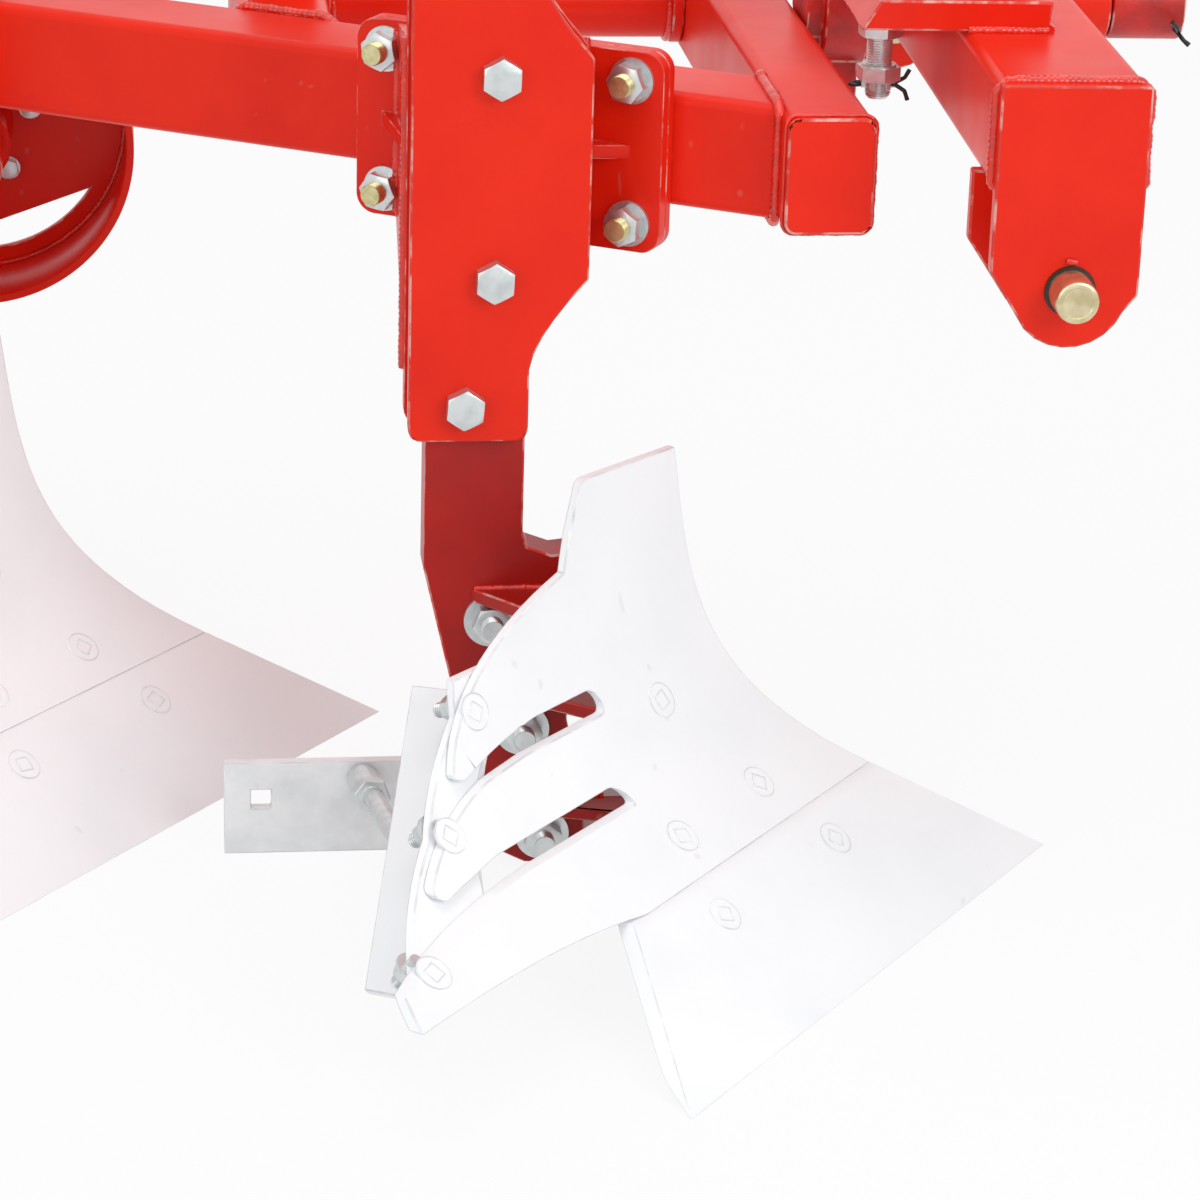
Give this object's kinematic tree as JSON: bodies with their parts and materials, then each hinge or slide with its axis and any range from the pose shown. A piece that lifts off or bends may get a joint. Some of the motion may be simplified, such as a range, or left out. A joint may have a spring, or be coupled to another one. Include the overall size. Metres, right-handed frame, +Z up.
{
  "type": "mounted moldboard plough",
  "caption": "Right-hand mounted plough: skewed square beam, slotted moldboards on plated legs, three-point headstock, raised gauge wheel and parking stand.",
  "frame": {"origin": "middle of the plough's bounding box, on the ground the parked plough stands on", "axes": "+X is the direction of travel, +Y points to the land side (left), +Z up"},
  "size_m": [2.0774, 1.5474, 1.244],
  "materials": {
    "red_paint": "glossy red paint over welded steel",
    "body_steel": "satin near-white coat",
    "zinc": "zinc plated, satin"
  },
  "bodies": {
    "frame": {"main_beam": "red_paint", "front_cross_tube": "red_paint", "rear_cross_tube": "red_paint", "longitudinal_tube": "red_paint", "hitch_cross_tube": "red_paint", "pivot_shaft": "red_paint", "hitch_plate_right": "red_paint", "hitch_plate_left": "red_paint", "hitch_lug_right": "red_paint", "hitch_lug_left": "red_paint", "hitch_pin_right": "zinc", "hitch_pin_left": "zinc", "mast_plate_right": "red_paint", "mast_plate_left": "red_paint", "top_link_pin": "zinc", "stay_pin": "zinc", "mast_stay": "red_paint", "levelling_bracket": "red_paint", "levelling_bolt": "zinc", "leg_bracket_1": "red_paint", "cheek_plate_1": "red_paint", "mount_plate_1": "red_paint", "leg_1": "red_paint", "frog_1": "red_paint", "moldboard_1": "body_steel", "share_1": "body_steel", "landside_1": "body_steel", "tie_bar_1": "body_steel", "stay_rod_1": "zinc", "leg_bracket_2": "red_paint", "cheek_plate_2": "red_paint", "mount_plate_2": "red_paint", "leg_2": "red_paint", "frog_2": "red_paint", "moldboard_2": "body_steel", "share_2": "body_steel", "landside_2": "body_steel", "tie_bar_2": "body_steel", "stay_rod_2": "zinc", "leg_bracket_3": "red_paint", "cheek_plate_3": "red_paint", "mount_plate_3": "red_paint", "leg_3": "red_paint", "frog_3": "red_paint", "moldboard_3": "body_steel", "share_3": "body_steel", "landside_3": "body_steel", "tie_bar_3": "body_steel", "stay_rod_3": "zinc", "wheel_sleeve": "red_paint", "stand_sleeve": "red_paint"},
    "wheel_post": {"wheel_post": "red_paint"},
    "gauge_wheel": {"gauge_wheel": "red_paint"},
    "stand_leg": {"stand_leg": "red_paint"}
  },
  "joints": [
    {"name": "gauge_wheel_height", "type": "slide", "parent": "frame", "child": "wheel_post", "axis": [0, 0, 1], "range_m": [-0.16, 0.03]},
    {"name": "gauge_wheel_spin", "type": "hinge", "parent": "wheel_post", "child": "gauge_wheel", "pos_m": [-0.09433, 0.49784, 0.48], "axis": [0, 1, 0], "continuous": true},
    {"name": "stand_slide", "type": "slide", "parent": "frame", "child": "stand_leg", "axis": [0, 0, 1], "range_m": [0, 0.4]}
  ]
}
